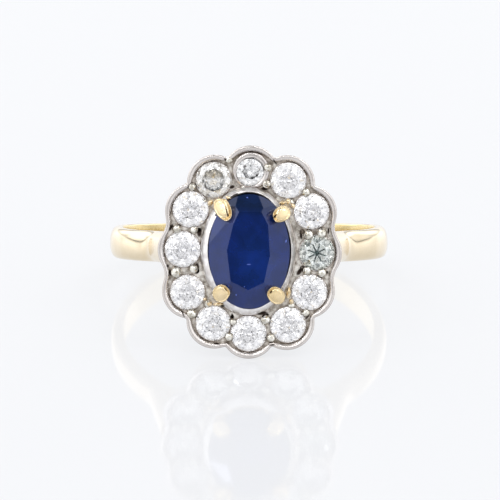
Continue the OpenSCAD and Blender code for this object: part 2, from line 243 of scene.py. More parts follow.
def make_piece(name, bm, matrix, materials, sharp=50):
    """Makes what is drawn in bm a piece of the ring, smooth but for edges over the angle."""
    bmesh.ops.transform(bm, matrix=matrix, verts=bm.verts)
    bmesh.ops.recalc_face_normals(bm, faces=bm.faces)
    mesh = bpy.data.meshes.new(name)
    bm.to_mesh(mesh)
    bm.free()
    mesh.shade_smooth()
    mesh.set_sharp_from_angle(angle=math.radians(sharp))
    for material in materials:
        mesh.materials.append(material)
    piece = bpy.data.objects.new(name, mesh)
    bpy.context.scene.collection.objects.link(piece)
    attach(piece, "root")
    return piece


# Materials

UNTINTED = (1, 1, 1)
BLACK = (0, 0, 0)


def new_material(name):
    """A material with its node tree and its shader."""
    material = bpy.data.materials.new(name)
    material.use_nodes = True
    tree = material.node_tree
    return material, tree, tree.nodes["Principled BSDF"]


def fill_in(tree, node, values):
    """Gives a node its inputs: a socket is linked, and anything else is set."""
    for name, value in values.items():
        if isinstance(value, bpy.types.NodeSocket):
            tree.links.new(value, node.inputs[name])
        else:
            node.inputs[name].default_value = value


def object_place(tree):
    """Object coordinates."""
    return tree.nodes.new("ShaderNodeTexCoord").outputs["Object"]


def head_place(tree, middle):
    """Object coordinates turned to the head's own frame, in millimetres from a middle."""
    mapping = tree.nodes.new("ShaderNodeMapping")
    back = HEAD.inverted()
    fill_in(tree, mapping, {
        "Vector": object_place(tree), "Location": back.translation - middle,
        "Rotation": back.to_euler(), "Scale": back.to_scale(),
    })
    return mapping.outputs["Vector"]


def noise_at(tree, place, scale, detail):
    """Noise at a place, in spots for each unit of the place."""
    texture = tree.nodes.new("ShaderNodeTexNoise")
    fill_in(tree, texture, {"Vector": place, "Scale": scale, "Detail": detail})
    return texture.outputs["Fac"]


def noise(tree, scale, detail=3.0, stretch=(1, 1, 1)):
    """Noise on Object coordinates. The scale is in spots per metre."""
    mapping = tree.nodes.new("ShaderNodeMapping")
    fill_in(tree, mapping, {"Vector": object_place(tree), "Scale": stretch})
    return noise_at(tree, mapping.outputs["Vector"], scale, detail)


def ramp(tree, factor, stops):
    """A colour ramp from (position, colour) stops, in their order."""
    node = tree.nodes.new("ShaderNodeValToRGB")
    elements = node.color_ramp.elements
    for i, (position, colour) in enumerate(stops):
        element = elements[i] if i < len(elements) else elements.new(position)
        element.position = position
        element.color = (*colour, 1)
    tree.links.new(factor, node.inputs["Fac"])
    return node.outputs["Color"]


def carried(tree, value, start, end, low, high, shape="LINEAR"):
    """Carries the run from start to end over to the one from low to high, and no further."""
    node = tree.nodes.new("ShaderNodeMapRange")
    node.interpolation_type = shape
    fill_in(tree, node, {
        "Value": value, "From Min": start, "From Max": end, "To Min": low, "To Max": high,
    })
    return node.outputs["Result"]


def reckoned(tree, operation, *values):
    """What a Math node makes of its sockets and numbers."""
    node = tree.nodes.new("ShaderNodeMath")
    node.operation = operation
    fill_in(tree, node, dict(enumerate(values)))
    return node.outputs["Value"]


def part_of(tree, vector, axis):
    """The X, Y or Z of a vector."""
    split = tree.nodes.new("ShaderNodeSeparateXYZ")
    tree.links.new(vector, split.inputs["Vector"])
    return split.outputs[axis]


def length_of(tree, vector):
    """How long a vector is."""
    node = tree.nodes.new("ShaderNodeVectorMath")
    node.operation = "LENGTH"
    tree.links.new(vector, node.inputs[0])
    return node.outputs["Value"]


def across(tree, place, stretch=(1, 1, 0)):
    """How far a point is from the middle of its place, across the face."""
    flat = tree.nodes.new("ShaderNodeVectorMath")
    flat.operation = "MULTIPLY"
    fill_in(tree, flat, {0: place, 1: stretch})
    return length_of(tree, flat.outputs["Vector"])


def blended(tree, share, a, b, way="MIX"):
    """Colour a where the share is 0, and colour b where it is 1."""
    node = tree.nodes.new("ShaderNodeMix")
    node.data_type = "RGBA"
    node.blend_type = way
    fill_in(tree, node, {"Factor": share, "A": a, "B": b})
    return node.outputs["Result"]


def multiplied(tree, a, b):
    """Colour a tinted with colour b."""
    return blended(tree, 1.0, a, b, "MULTIPLY")


def relief(tree, height, strength, depth):
    """A Bump node. The depth is in metres."""
    node = tree.nodes.new("ShaderNodeBump")
    fill_in(tree, node, {"Height": height, "Strength": strength, "Distance": depth})
    return node


# How deep a mark goes, in millimetres: through all that shows.
MARK_DEPTH = 10


def nearest_mark(tree, marks):
    """How far out of the nearest mark a point is: 0 in its middle and 1 at its edge."""
    place = head_place(tree, Vector())
    nearest = None
    for x, y, long, wide, turn in marks:
        local = tree.nodes.new("ShaderNodeMapping")
        local.vector_type = "TEXTURE"
        fill_in(tree, local, {
            "Vector": place, "Location": (x, y, 0), "Rotation": (0, 0, math.radians(turn)),
            "Scale": (long, wide, MARK_DEPTH),
        })
        away = length_of(tree, local.outputs["Vector"])
        nearest = away if nearest is None else reckoned(tree, "MINIMUM", nearest, away)
    return nearest


# Nearly all of a noise lies between these values.
NOISE_RUN = (0.3, 0.7)
# The metals. Their gloss, ripples and hair scratches have this many spots a metre, and the
# relief of the last two is this many metres deep. The hairs run from front to back.
GLOSS_SPOTS = 2600
RIPPLE_SPOTS = 2200
RIPPLE_DEPTH = 0.00003
HAIR_SPOTS = 9000
HAIR_STRETCH = (1, 0.15, 0.4)
HAIR_STRENGTH = 0.05
HAIR_DEPTH = 0.000004
# How far out of a corner its grime and painted shade reach, in metres, and how finely the occlusion
# is looked for.
CORNER_SHADE_REACH = 0.00022
CORNER_SHADE_SAMPLES = 8
# The tone of a dark mark: painted shade.
MARK_SHADE_TONE = (0.06, 0.045, 0.04)
# The ripples of the head's side, which are broader.
SIDE_RIPPLE = 0.3
SIDE_RIPPLE_SPOTS = 1800


def uneven_gloss(tree, rough):
    """Roughness that drifts between two values."""
    return carried(tree, noise(tree, GLOSS_SPOTS, 4), *NOISE_RUN, *rough)


def corner_shade_and_grime(tree, shade_and_grime):
    """Partly grime and partly painted shade: a darker tone in a metal's narrow corners, found by
    occlusion and fading further out.
    """
    corners = tree.nodes.new("ShaderNodeAmbientOcclusion")
    corners.samples = CORNER_SHADE_SAMPLES
    corners.inputs["Distance"].default_value = CORNER_SHADE_REACH
    fading = [(1 + 2 * c) / 3 for c in shade_and_grime]
    return ramp(tree, corners.outputs["AO"], [(0.12, shade_and_grime), (0.45, fading), (0.85, UNTINTED)])


def polished_metal(name, tones, rough, ripple=0.12, shade_and_grime=None, spots=900, shade_marks=None):
    """A polished gold: a slow drift of tone, hand-polished ripples and hair scratches.
    Its narrow corners keep a darker tone, partly grime and partly painted shade, and its dark marks
    are painted shade in pits and grooves."""
    material, tree, shader = new_material(name)
    tone = ramp(tree, noise(tree, spots), [(0.35, tones[0]), (0.65, tones[1])])
    # Dark marks: painted shade in pits, wedges and grooves.
    if shade_marks:
        edge = [(0.6, MARK_SHADE_TONE), (0.95, UNTINTED)]
        tone = multiplied(tree, tone, ramp(tree, nearest_mark(tree, shade_marks), edge))
    # Darker in narrow corners: partly grime, partly painted shade.
    if shade_and_grime:
        tone = multiplied(tree, tone, corner_shade_and_grime(tree, shade_and_grime))
    waves = relief(tree, noise(tree, RIPPLE_SPOTS, 2), ripple, RIPPLE_DEPTH)
    hairs = relief(tree, noise(tree, HAIR_SPOTS, 5, HAIR_STRETCH), HAIR_STRENGTH, HAIR_DEPTH)
    tree.links.new(waves.outputs["Normal"], hairs.inputs["Normal"])
    fill_in(tree, shader, {
        "Metallic": 1.0, "Base Color": tone, "Roughness": uneven_gloss(tree, rough),
        "Normal": hairs.outputs["Normal"],
    })
    return material


def side_metal(name, stops, rough):
    """The polish of the head's side, with tones from its back edge, at 0, to its rim."""
    material, tree, shader = new_material(name)
    height = part_of(tree, head_place(tree, Vector()), "Z")
    share = carried(tree, height, -HEAD_T, 0.0, 0.0, 1.0)
    waves = relief(tree, noise(tree, SIDE_RIPPLE_SPOTS, 2), SIDE_RIPPLE, RIPPLE_DEPTH)
    fill_in(tree, shader, {
        "Metallic": 1.0, "Base Color": ramp(tree, share, stops),
        "Roughness": uneven_gloss(tree, rough), "Normal": waves.outputs["Normal"],
    })
    return material


# The stones. How strongly diamond and sapphire bend light.
DIAMOND_INDEX = 2.417
SAPPHIRE_INDEX = 1.77
# A diamond's fine specks and small facets: how many a millimetre has, and how deep the
# facets are, in metres.
SPECKS_PER_MM = 6.5
CHIPS_PER_MM = 2.6
CHIP_DEPTH = 0.00004
# The polish of a table ends at the first share of the stone's radius, and the crown's
# begins at the second.
TABLE_EDGE = (0.56, 0.72)
# The dark star in a shallow stone: how many arms it has, and how it is turned.
STAR_ARMS = 8
STAR_TURN = 1.19
# The sapphire's brighter zone: its middle, and how fast it fades across and along.
BRIGHT_AT = Vector((0.55, -0.95, 0))
BRIGHT_FADE = (0.5, 0.36, 0)
# Above this place the sapphire's colour is painted darker: painted shade on its upper crown.
DARK_TOP_AT = Vector((0, 2.3, 0))
CLOUD_SPOTS = 1100
GLINT_TONE = (0.16, 0.24, 0.75, 1)


def dark_arms(tree, place, tint):
    """A painted dark reflection: the dark star that a shallow stone shows, with its arms round its
    middle.
    """
    angle = reckoned(tree, "ARCTAN2", part_of(tree, place, "Y"), part_of(tree, place, "X"))
    turned = reckoned(tree, "MULTIPLY_ADD", angle, STAR_ARMS / 2, STAR_TURN)
    swing = reckoned(tree, "ABSOLUTE", reckoned(tree, "SINE", turned))
    out = across(tree, place)
    apart = reckoned(tree, "MULTIPLY", swing, out)
    arms = ramp(tree, apart, [(0.13, (0.01, 0.02, 0.02)), (0.25, UNTINTED)])
    reach = ramp(tree, out, [(0.60, BLACK), (0.72, UNTINTED)])
    return blended(tree, reach, multiplied(tree, tint, arms), tint)


def flecks(tree, _, tint):
    """The dark flecks of a few stones. They have places of their own on the head."""
    spot = [(0.5, (0.10, 0.11, 0.12)), (1.0, UNTINTED)]
    return multiplied(tree, tint, ramp(tree, nearest_mark(tree, FLECKS), spot))


def brown_top(tree, place, tint):
    """Brown light in the upper half of a table, and flecks over it."""
    shade = ramp(tree, part_of(tree, place, "Y"), [(0.0, UNTINTED), (0.3, (0.50, 0.44, 0.34))])
    inside = ramp(tree, across(tree, place), [(0.68, UNTINTED), (0.76, BLACK)])
    brown = blended(tree, inside, tint, multiplied(tree, tint, shade))
    return flecks(tree, place, brown)


def diamond(name, x, y, d, clear, tones, rough, chips, specks, pattern=None):
    """A diamond: how clear it is, its tones from its middle to its edge and its polish in
    the table and on the crown. Chips is how strongly small facets break up its light,
    specks is the tone of its fine specks, and a pattern is what else shows in it."""
    material, tree, shader = new_material(name)
    place = head_place(tree, Vector((x, y, 0)))
    out = across(tree, place, (2 / d, 2 / d, 0))
    grain = noise_at(tree, place, SPECKS_PER_MM, 1.0)
    specked = ramp(tree, grain, [(0.29, specks), (0.36, UNTINTED)])
    # The tones darken towards the edge: painted shadow of the seat.
    tint = multiplied(tree, ramp(tree, out, tones), specked)
    if pattern:
        tint = pattern(tree, place, tint)
    cells = tree.nodes.new("ShaderNodeTexVoronoi")
    cells.distance = "CHEBYCHEV"
    fill_in(tree, cells, {"Vector": place, "Scale": CHIPS_PER_MM})
    facets = relief(tree, cells.outputs["Distance"], chips, CHIP_DEPTH)
    fill_in(tree, shader, {
        "Transmission Weight": clear, "IOR": DIAMOND_INDEX, "Base Color": tint,
        "Roughness": carried(tree, out, *TABLE_EDGE, *rough),
        "Normal": facets.outputs["Normal"],
    })
    return material


def sapphire_blue(name):
    """A deep blue with a brighter zone low in the stone, clouds, and painted glints."""
    material, tree, shader = new_material(name)
    zone = across(tree, head_place(tree, BRIGHT_AT), BRIGHT_FADE)
    tint = ramp(tree, zone, [
        (0.0, (0.008, 0.039, 0.275)), (0.4, (0.006, 0.030, 0.195)), (0.9, (0.005, 0.023, 0.155)),
    ])
    haze = [(0.35, (0.70, 0.76, 0.68)), (0.65, (1.05, 1.03, 1.05))]
    tint = multiplied(tree, tint, ramp(tree, noise(tree, CLOUD_SPOTS, 2), haze))
    # Painted shade: darker towards the top.
    height = part_of(tree, head_place(tree, DARK_TOP_AT), "Y")
    upper = ramp(tree, height, [(0.0, UNTINTED), (0.7, (0.8, 0.78, 0.5))])
    # Painted highlights: small glints in the colour.
    shine = ramp(tree, nearest_mark(tree, PAINTED_GLINTS), [(0.4, UNTINTED), (1.0, BLACK)])
    fill_in(tree, shader, {
        "Base Color": blended(tree, shine, multiplied(tree, tint, upper), GLINT_TONE),
        "Transmission Weight": 0.35, "IOR": SAPPHIRE_INDEX, "Roughness": 0.01,
        "Specular IOR Level": 0.37, "Specular Tint": (0.60, 0.66, 1.0, 1),
    })
    return material


YELLOW = polished_metal(
    "yellow_gold_polish", [(0.765, 0.65, 0.46), (0.80, 0.69, 0.51)], (0.06, 0.12),
)
# The inside: rougher, and a deeper yellow painted as the reflection of gold in gold.
INSIDE_REFLECTED_YELLOW = polished_metal(
    "inside_polish_painted_reflection", [(0.72, 0.58, 0.30), (0.78, 0.64, 0.36)], (0.2, 0.3),
)
CLAW_GOLD = polished_metal(
    "claw_gold_polish", [(0.72, 0.57, 0.33), (0.79, 0.645, 0.42)], (0.2, 0.3), 0.25, shade_marks=CLAW_GROOVE_SHADES,
)
SOLDER = polished_metal(
    "solder_gold", [(0.52, 0.39, 0.22), (0.84, 0.72, 0.54)], (0.15, 0.3), 0.6,
    shade_and_grime=(0.22, 0.15, 0.08), spots=3500,
)
WHITE = polished_metal(
    "white_gold_polish", [(0.58, 0.54, 0.52), (0.66, 0.625, 0.605)], (0.2, 0.32), 0.4,
    shade_and_grime=(0.36, 0.29, 0.25), shade_marks=PIT_SHADES,
)
FIELD_WHITE = polished_metal(
    "field_matt", [(0.39, 0.345, 0.295), (0.90, 0.865, 0.81)], (0.2, 0.35), 0.8,
    shade_and_grime=(0.38, 0.31, 0.26), spots=2600, shade_marks=PIT_SHADES,
)
WALL_WHITE = polished_metal(
    "wall_satin", [(0.70, 0.665, 0.645), (0.98, 0.965, 0.96)], (0.28, 0.4), 0.7,
    shade_and_grime=(0.22, 0.17, 0.14), spots=1800, shade_marks=PIT_SHADES,
)
# Painted shade: the dark metal of the wall's inside and lip, by the stone.
WALL_PAINTED_SHADE = polished_metal("wall_painted_shade", [(0.05, 0.045, 0.045), (0.09, 0.08, 0.08)], (0.4, 0.5))
GRAIN_WHITE = polished_metal(
    "grain_polish", [(0.40, 0.37, 0.31), (0.88, 0.865, 0.81)], (0.06, 0.14), 0.3,
    shade_and_grime=(0.14, 0.115, 0.09), spots=3800,
)
# Its tones darken in a band just under the rim: a painted dark reflection.
SIDE_WHITE = side_metal("head_side_polish", [
    (0.0, (0.62, 0.59, 0.57)), (0.75, (0.66, 0.625, 0.59)), (0.9, (0.56, 0.52, 0.48)),
    (0.97, (0.50, 0.46, 0.43)),
], (0.14, 0.26))
SAPPHIRE = sapphire_blue("sapphire_cut")

# The kinds of diamond, as diamond() takes them. Their tones darken towards the stone's edge:
# painted shadow of the seat.
WHITISH = dict(
    clear=1.0, rough=(0.02, 0.12), chips=0.32, specks=(0.26, 0.27, 0.32),
    tones=[(0.7, (0.985, 0.98, 1.0)), (0.84, (0.96, 0.955, 0.965)), (0.97, (0.84, 0.82, 0.80))],
)
GREENISH = dict(
    clear=0.92, rough=(0.02, 0.06), chips=0.12, specks=(0.75, 0.8, 0.78), pattern=dark_arms,
    tones=[(0.6, (0.95, 1.0, 0.985)), (0.75, (0.90, 0.93, 0.87)), (0.97, (0.68, 0.66, 0.58))],
)
# The windowed stone's dark ring round its table is a painted dark reflection.
WINDOWED = dict(
    clear=0.98, rough=(0.06, 0.12), chips=0.4, specks=(0.5, 0.47, 0.42), pattern=brown_top,
    tones=[
        (0.58, (1.0, 0.99, 0.97)), (0.63, (0.30, 0.28, 0.26)), (0.69, (1, 1, 1)),
        (0.98, (0.97, 0.96, 0.95)),
    ],
)
FLECKED = dict(
    clear=1.0, rough=(0.08, 0.12), chips=0.5, specks=(0.26, 0.27, 0.32), pattern=flecks,
    tones=[(0.6, (0.99, 0.99, 1.0)), (0.98, (0.90, 0.89, 0.87))],
)
# The round stones that differ from the others, by their number.
DIAMOND_KINDS = {1: FLECKED, 4: GREENISH, 12: WINDOWED}


# The band and its shoulders

# Half of the band's section, from the middle of its outside round to the middle of its
# inside: the share of the half width, and the share of the thickness.
HALF_SECTION = [
    (0.0, 1.0), (0.2, 0.991), (0.38, 0.967), (0.54, 0.928), (0.67, 0.875), (0.78, 0.81),
    (0.87, 0.725), (0.935, 0.625), (0.975, 0.52), (0.995, 0.42), (1.0, 0.32), (1.0, 0.2),
    (0.985, 0.09), (0.945, 0.025), (0.87, 0.0), (0.5, 0.0),
]
SECTION = HALF_SECTION + [(0.0, 0.0)] + [(-w, t) for w, t in reversed(HALF_SECTION[1:])]


# The upper edge of the band stands this much higher at the back. It begins to rise here, and
# takes this long.
BACK_RISE = 0.13
RISE_Y = -5.0
RISE_RUN = 6.0
# How finely the band is drawn round the finger, and under the head.
BAND_STEPS = 96
UNDER_STEPS = 48
# The part under the head runs this far into the rest, and is this much smaller all round.
UNDER_OVERLAP = math.radians(6)
UNDER_INSET = 0.01
# Where the band faces outward less than this, it has the polish of the inside, whose deeper yellow
# is a painted reflection of gold in gold.
INSIDE_FACING = -0.7


def band_width(y):
    """The band narrows a little towards the back."""
    run = max(0.0, (y - TAPER_Y) / (BAND_R - TAPER_Y))
    return BAND_W - run * (BAND_W - BAND_W_BACK)


def section_at(point, outward, thickness, less=0.0):
    """The band's section where its outside passes the point, facing outward."""
    half = band_width(point.y) / 2 - less
    rise = BACK_RISE * min(1.0, max(0.0, (point.y - RISE_Y) / RISE_RUN))
    return [
        point + outward * (share_t - 1) * thickness
        + Vector((0, 0, share_w * half + max(0.0, share_w) * rise))
        for share_w, share_t in SECTION
    ]


def shoulder_path(steps=10):
    """Outside points, outward directions and thicknesses from the head to the band."""
    outward = Vector((math.cos(SHOULDER_LEAN), -math.sin(SHOULDER_LEAN), 0))
    along = Vector((math.sin(SHOULDER_LEAN), math.cos(SHOULDER_LEAN), 0))
    line_d = SHOULDER_END.dot(outward) + SHOULDER_SWEEP_R
    reach = BAND_R + SHOULDER_SWEEP_R
    middle = outward * line_d - along * math.sqrt(reach * reach - line_d * line_d)
    corner = middle - outward * SHOULDER_SWEEP_R
    stations = [
        (SHOULDER_END.lerp(corner, i / steps), outward, SHOULDER_T) for i in range(steps)
    ]
    to_band = -middle.normalized()
    turn = (-outward).angle(to_band)
    for i in range(steps):
        share = i / steps
        spoke = Matrix.Rotation(-turn * share, 3, "Z") @ -outward
        thickness = SHOULDER_T + (BAND_T - SHOULDER_T) * share
        stations.append((middle + spoke * SHOULDER_SWEEP_R, -spoke, thickness))
    return stations, math.atan2(middle.y, middle.x)


def make_shank():
    """The band with its two shoulders, and the part of it under the head."""
    bm = bmesh.new()
    right, start = shoulder_path()
    stations = list(right)
    for i in range(BAND_STEPS + 1):
        outward = unit_at(start + (math.pi - 2 * start) * i / BAND_STEPS)
        stations.append((outward * BAND_R, outward, BAND_T))
    flip = Vector((-1, 1, 1))
    for point, outward, thickness in reversed(right):
        stations.append((point * flip, outward * flip, thickness))
    loft(bm, [section_at(*station) for station in stations])
    under = []
    sweep = math.pi + 2 * start + 2 * UNDER_OVERLAP
    for i in range(UNDER_STEPS + 1):
        outward = unit_at(start + UNDER_OVERLAP - sweep * i / UNDER_STEPS)
        point = outward * (BAND_R - UNDER_INSET)
        under.append(section_at(point, outward, BAND_T - 2 * UNDER_INSET, UNDER_INSET))
    loft(bm, under)
    bmesh.ops.recalc_face_normals(bm, faces=bm.faces)
    for face in bm.faces:
        place = face.calc_center_median()
        if face.normal.dot(Vector((place.x, place.y, 0)).normalized()) < INSIDE_FACING:
            face.material_index = 1
    return make_piece("gold_band", bm, LIE, (YELLOW, INSIDE_REFLECTED_YELLOW), sharp=60)


# The head

def lobe_middles():
    """The middles of the lobes, a little inside of their stones."""
    places = [Vector((x, y, 0)) for x, y, d in STONES]
    return [p - LOBE_INSET * p.normalized() for p in places]


def scallop(radius, z, pinch=0.0, steps=12, corner_steps=4):
    """The scalloped outline that twelve lobes of the radius make, clockwise, with round
    corners between them. Pinch draws the middle of each lobe in."""
    middles = lobe_middles()
    count = len(middles)
    corners = []
    for i, middle in enumerate(middles):
        half = (middles[(i + 1) % count] - middle) / 2
        outward = Vector((-half.y, half.x, 0)).normalized()
        round_r = SOFT_CORNERS.get(i + 1, CORNER_R)
        rise = math.sqrt((LOBE_R + round_r) ** 2 - half.length_squared)
        corners.append((middle + half + outward * rise, round_r + LOBE_R - radius))
    points = []
    for i, middle in enumerate(middles):
        corner, corner_r = corners[i]
        # The lobe itself.
        first, last = corners[i - 1][0] - middle, corner - middle
        start = math.atan2(first.y, first.x)
        sweep = (start - math.atan2(last.y, last.x)) % (2 * math.pi)
        for k in range(steps + 1):
            angle = start - sweep * k / steps
            r = radius - pinch * math.sin(math.pi * k / steps) ** 0.5
            points.append(middle + Vector((r * math.cos(angle), r * math.sin(angle), z)))
        # The round corner to the next one.
        first, last = middle - corner, middles[(i + 1) % count] - corner
        start = math.atan2(first.y, first.x)
        sweep = (math.atan2(last.y, last.x) - start) % (2 * math.pi)
        for k in range(1, corner_steps):
            spoke = unit_at(start + sweep * k / corner_steps)
            points.append(corner + spoke * corner_r + Vector((0, 0, z)))
    return points


def oval_points(grow, z, steps=18):
    """The oval of the big stone's wall, grown outwards, made of four arcs."""
    end_y = WALL_B - OVAL_END_R
    side_r = (WALL_A ** 2 + end_y ** 2 - OVAL_END_R ** 2) / (2 * (WALL_A - OVAL_END_R))
    side_x = side_r - WALL_A
    lean = math.atan2(end_y, side_x)
    arcs = [
        (Vector((-side_x, 0, 0)), side_r, -lean, lean),
        (Vector((0, end_y, 0)), OVAL_END_R, lean, math.pi - lean),
        (Vector((side_x, 0, 0)), side_r, math.pi - lean, math.pi + lean),
        (Vector((0, -end_y, 0)), OVAL_END_R, math.pi + lean, 2 * math.pi - lean),
    ]
    points = []
    for middle, radius, start, end in arcs:
        for k in range(steps):
            spoke = unit_at(start + (end - start) * k / steps)
            points.append(OVAL_AT + middle + spoke * (radius + grow) + Vector((0, 0, z)))
    return points


def room_at(x, y):
    """How far a place on the face is from the nearest round stone's edge."""
    return min(math.hypot(x - sx, y - sy) - d / 2 for sx, sy, d in STONES)


# The rim in section, from the field up its inside and over to the outside: how far in
# from the outline, the height, and how far the lobes' middles are drawn in besides.
RIM_SECTION = [
    (0.36, -0.3, 0.11), (0.35, -0.2, 0.10), (0.335, -0.1, 0.08), (0.31, -0.05, 0.05),
    (0.25, -0.015, 0.02), (0.18, 0.0, 0.0), (0.12, -0.003, 0.0), (0.07, -0.02, 0.0),
    (0.04, -0.05, 0.0), (0.036, -0.1, 0.0), (0.058, -0.18, 0.0),
]
# The side and the back of the head: the lobes' radius, and the height.
SIDE_SECTION = [
    (1.79, -0.4), (1.68, -0.75), (1.54, -1.15), (1.42, -1.45), (1.36, -1.6), (1.31, -1.67),
    (1.25, -HEAD_T),
]
# The edge of a round stone's seat, cut bright and pressed over the stone: how far out from
# the seat's side, and the height.
SEAT_EDGE = [
    (0.028, -0.31), (0.015, -0.265), (-0.015, -0.245), (-0.042, -0.25), (-0.04, -0.262),
    (0.0, -0.29),
]
# A seat's side is this far off its stone, and goes down to this height. The seat opens in
# the field with this much room round the stone.
SEAT_GAP = 0.02
SEAT_SIDE_Z = -0.42
SEAT_MOUTH = 0.035
# The field and the back of the head begin this far outside of the oval wall's inside.
FIELD_GAP = 0.2
# A pit's depth, the share of its radius at its bottom, and its corners.
PIT_DEPTH = 0.3
PIT_BOTTOM = 0.5
PIT_CORNERS = 12
# The head's side is under this height, this far from the stones, and faces outward at
# least this much.
SIDE_TOP = -0.03
SIDE_ROOM = 0.2
SIDE_FACING = 0.3
# The field is under this height and this far from the stones, and so is all that is under
# the last height: the pits and the insides of the seats.
FIELD_TOP = -0.12
FIELD_ROOM = 0.04
FIELD_LOW = FIELD_Z + 0.01


def make_head():
    """The white-gold head: rim, field, twelve seats with open backs, and the flat back."""
    bm = bmesh.new()
    inset, _, pinch = RIM_SECTION[0]
    outline = draw_loop(bm, scallop(LOBE_R - inset, FIELD_Z, pinch))
    inside = draw_loop(bm, oval_points(FIELD_GAP, FIELD_Z))
    seats = []
    for x, y, d in STONES:
        mouth = draw_loop(bm, circle_points(x, y, d / 2 + SEAT_MOUTH, FIELD_Z))
        seats.append((x, y, d / 2 + SEAT_GAP, mouth))
    pits = []
    for x, y, radius in PITS:
        mouth = draw_loop(bm, circle_points(x, y, radius, FIELD_Z, PIT_CORNERS))
        pits.append((x, y, radius * PIT_BOTTOM, mouth))
    bmesh.ops.triangle_fill(bm, edges=bm.edges[:], use_beauty=True)
    for inset, z, pinch in RIM_SECTION:
        outline = extrude_loop(bm, outline, scallop(LOBE_R - inset, z, pinch))
    for radius, z in SIDE_SECTION:
        outline = extrude_loop(bm, outline, scallop(radius, z))
    inside = extrude_loop(bm, inside, oval_points(FIELD_GAP, -HEAD_T))
    back = loop_edges(bm, outline) + loop_edges(bm, inside)
    for x, y, radius, verts in seats:
        steps = [(radius + out, z) for out, z in SEAT_EDGE] + [
            (radius, SEAT_SIDE_Z), (AZURE_R, THROAT_Z), (AZURE_R, AZURE_FLARE_T - HEAD_T),
            (AZURE_FLARE_R, -HEAD_T),
        ]
        for r, z in steps:
            verts = extrude_loop(bm, verts, circle_points(x, y, r, z))
        back += loop_edges(bm, verts)
    for x, y, radius, verts in pits:
        floor = circle_points(x, y, radius, FIELD_Z - PIT_DEPTH, PIT_CORNERS)
        bm.faces.new(extrude_loop(bm, verts, floor))
    bmesh.ops.triangle_fill(bm, edges=back, use_beauty=True)
    bmesh.ops.recalc_face_normals(bm, faces=bm.faces)
    for face in bm.faces:
        place = face.calc_center_median()
        room = room_at(*place.xy)
        facing = face.normal.dot(place.normalized())
        if place.z < SIDE_TOP and room > SIDE_ROOM and facing > SIDE_FACING:
            face.material_index = 1
        elif place.z < FIELD_TOP and (room > FIELD_ROOM or place.z < FIELD_LOW):
            face.material_index = 2
    return make_piece("scalloped_head", bm, HEAD, (WHITE, SIDE_WHITE, FIELD_WHITE))


# The oval wall in section: how far out from its inside, and the height. Its top closes in
# under the edge of the stone and slopes away from it.
WALL_SECTION = [
    (0.0, -3.55), (0.0, -2.0), (0.0, -0.5), (-0.35, -0.25), (-0.38, -0.1), (-0.3, 0.05),
    (-0.03, 0.2), (-0.05, 0.5), (-0.055, 0.56),
    (-0.04, 0.58), (0.0, 0.56), (0.08, 0.48), (0.19, 0.35), (0.28, 0.2), (0.34, 0.05),
    (0.36, -0.1), (0.36, -1.5), (0.38, -2.0), (0.38, -3.55), (0.33, -3.6), (0.05, -3.6),
]
# The wall's lip was pushed to the stone from one side. It went this far for each millimetre
# of its height, and the outside of the wall not at all.
LIP_SHIFT = Vector((0.14, 0.08, 0))
WALL_T = 0.36
# Above this height the wall's inside is painted dark, as shade in the gap by the stone. So is its
# lip, above the next height, where it faces outward less than this: more of it at the upper right
# than elsewhere.
WALL_SHADE_Z = -0.6
LIP_Z = 0.5
LIP_FACING = 0.35
LIP_FACING_RIGHT = 0.8
# Under this height, behind the head's face, the wall is polished like the rim.
WALL_FOOT_Z = -0.45


def make_wall():
    """The plain oval wall round the sapphire, and the collar under it."""
    bm = bmesh.new()
    rings = []
    for out, z in WALL_SECTION:
        shift = LIP_SHIFT * max(0.0, z) * (1 - max(0.0, out) / WALL_T)
        rings.append([point + shift for point in oval_points(out, z)])
    loft(bm, rings, closed=True)
    bmesh.ops.recalc_face_normals(bm, faces=bm.faces)
    for face in bm.faces:
        place = face.calc_center_median()
        facing = face.normal.dot((place - OVAL_AT).normalized())
        lip = LIP_FACING_RIGHT if place.x + place.y > 0 else LIP_FACING
        # These faces get the dark metal of painted shade.
        if (facing < 0 and place.z > WALL_SHADE_Z) or (facing < lip and place.z > LIP_Z):
            face.material_index = 1
        elif place.z < WALL_FOOT_Z:
            face.material_index = 2
    return make_piece("oval_wall", bm, HEAD, (WALL_WHITE, WALL_PAINTED_SHADE, WHITE))


# A grain is drawn this much larger than its table says, but reaches no further than this
# over a stone. Then its height, how flat it is, and the stem under it: the height of its
# middle, its length, and how much wider its foot is.
GRAIN_GROWTH = 1.25
GRAIN_REACH = 0.21
GRAIN_Z = -0.12
GRAIN_FLAT = 0.7
STEM_Z = -0.27
STEM_LENGTH = 0.28
STEM_FOOT = 1.15


def make_grains():
    """The small grains between the round stones, each on a stem."""
    bm = bmesh.new()
    for x, y, radius in GRAINS:
        radius = min(GRAIN_GROWTH * radius, room_at(x, y) + GRAIN_REACH)
        place = Matrix.Translation((x, y, GRAIN_Z)) @ Matrix.Diagonal((1, 1, GRAIN_FLAT, 1))
        bmesh.ops.create_uvsphere(bm, u_segments=24, v_segments=14, radius=radius, matrix=place)
        bmesh.ops.create_cone(
            bm, cap_ends=True, segments=24, radius1=radius * STEM_FOOT, radius2=radius,
            depth=STEM_LENGTH, matrix=Matrix.Translation((x, y, STEM_Z)),
        )
    return make_piece("grains", bm, HEAD, (GRAIN_WHITE,))


# The metal lip that is rubbed over the edge of the first stone: radius and height. Inside
# of the first radius below it leans, by this much for each millimetre further in.
LIP_SECTION = [
    (1.25, -0.4), (1.24, -0.18), (1.2, -0.1), (1.1, -0.07), (0.98, -0.1), (0.89, -0.15),
    (0.90, -0.165), (1.06, -0.235), (1.1, -0.4),
]
LIP_BEND_R = 1.1
LIP_LEAN = Vector((-0.45, -0.7, 0))
LIP_CORNERS = 56


